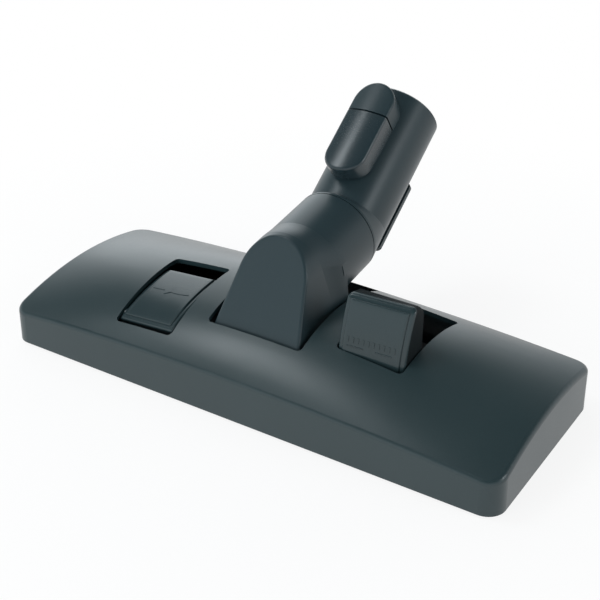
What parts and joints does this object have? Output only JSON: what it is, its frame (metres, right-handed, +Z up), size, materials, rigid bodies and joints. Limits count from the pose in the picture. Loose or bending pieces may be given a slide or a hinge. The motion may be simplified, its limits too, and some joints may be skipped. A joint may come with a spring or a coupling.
{
  "type": "vacuum floor brush head",
  "caption": "Dark plastic vacuum floor head with a crowned cover, two rocking foot pedals, a tilting and swivelling neck and a latched wand socket.",
  "frame": {"origin": "on the floor under the middle of the cover, on the sole's lower face", "axes": "+X across the head to the right seen from the front, +Y to the rear where the neck leans, +Z up"},
  "size_m": [0.27, 0.1692, 0.1232],
  "materials": {
    "cover_abs": "satin",
    "neck_abs": "satin",
    "latch_abs": "satin",
    "pedal_abs": "semi gloss",
    "base_abs": "matte",
    "sole_steel": "brushed",
    "pin_steel": "drawn",
    "felt": "felt",
    "lint_pile": "pile",
    "bristle": "bristle",
    "wheel_rubber": "matte"
  },
  "bodies": {
    "head": {"top_cover": "cover_abs", "base_housing": "base_abs", "sole_plate": "sole_steel", "front_lint_strip": "lint_pile", "rear_lint_strip": "lint_pile", "left_pedal_pin": "pin_steel", "right_pedal_pin": "pin_steel", "left_bearing_cap": "base_abs", "right_bearing_cap": "base_abs", "duct_seal": "felt", "left_axle": "pin_steel", "right_axle": "pin_steel", "cover_screws": "pin_steel"},
    "brush": {"brush_carriage": "base_abs", "front_bristles": "bristle", "rear_bristles": "bristle"},
    "left_pedal_key": {"left_pedal": "pedal_abs"},
    "right_pedal_key": {"right_pedal": "pedal_abs"},
    "neck": {"neck_hood": "neck_abs", "swivel_ring": "pin_steel"},
    "elbow": {"elbow_socket": "neck_abs", "swivel_felt": "felt", "latch_pin": "pin_steel", "latch_spring": "pin_steel"},
    "latch": {"latch_button": "latch_abs"},
    "left_roller": {"left_wheel": "wheel_rubber"},
    "right_roller": {"right_wheel": "wheel_rubber"}
  },
  "joints": [
    {"name": "neck_tilt", "type": "hinge", "parent": "head", "child": "neck", "pos_m": [0, 0.006, 0.024], "axis": [1, 0, 0], "range_deg": [0, 32]},
    {"name": "neck_swivel", "type": "hinge", "parent": "neck", "child": "elbow", "pos_m": [0, 0, 0.0518], "axis": [0, 0.9881, 0.1538], "range_deg": [-90, 90]},
    {"name": "latch_press", "type": "hinge", "parent": "elbow", "child": "latch", "pos_m": [0, 0.0678, 0.10219], "axis": [1, 0, 0], "range_deg": [0, 4], "stiffness_Nm_per_rad": 0.3, "springref_deg": -5.73, "deforming": ["latch_spring"]},
    {"name": "left_pedal_rock", "type": "hinge", "parent": "head", "child": "left_pedal_key", "pos_m": [-0.0562, -0.03405, 0.02468], "axis": [1, 0, 0], "range_deg": [0, 63]},
    {"name": "right_pedal_rock", "type": "hinge", "parent": "head", "child": "right_pedal_key", "pos_m": [0.0562, -0.01605, 0.02629], "axis": [1, 0, 0], "range_deg": [-63, 0]},
    {"name": "brush_lift", "type": "slide", "parent": "head", "child": "brush", "axis": [0, 0, -1], "range_m": [0, 0.006]},
    {"name": "left_wheel_spin", "type": "hinge", "parent": "head", "child": "left_roller", "pos_m": [-0.119, 0.0395, 0.008], "axis": [1, 0, 0], "continuous": true},
    {"name": "right_wheel_spin", "type": "hinge", "parent": "head", "child": "right_roller", "pos_m": [0.119, 0.0395, 0.008], "axis": [1, 0, 0], "continuous": true}
  ],
  "couplings": [
    {"joint": "left_pedal_rock", "follows": "brush_lift", "rad_per_m": 183.26},
    {"joint": "right_pedal_rock", "follows": "brush_lift", "rad_per_m": -183.26}
  ]
}
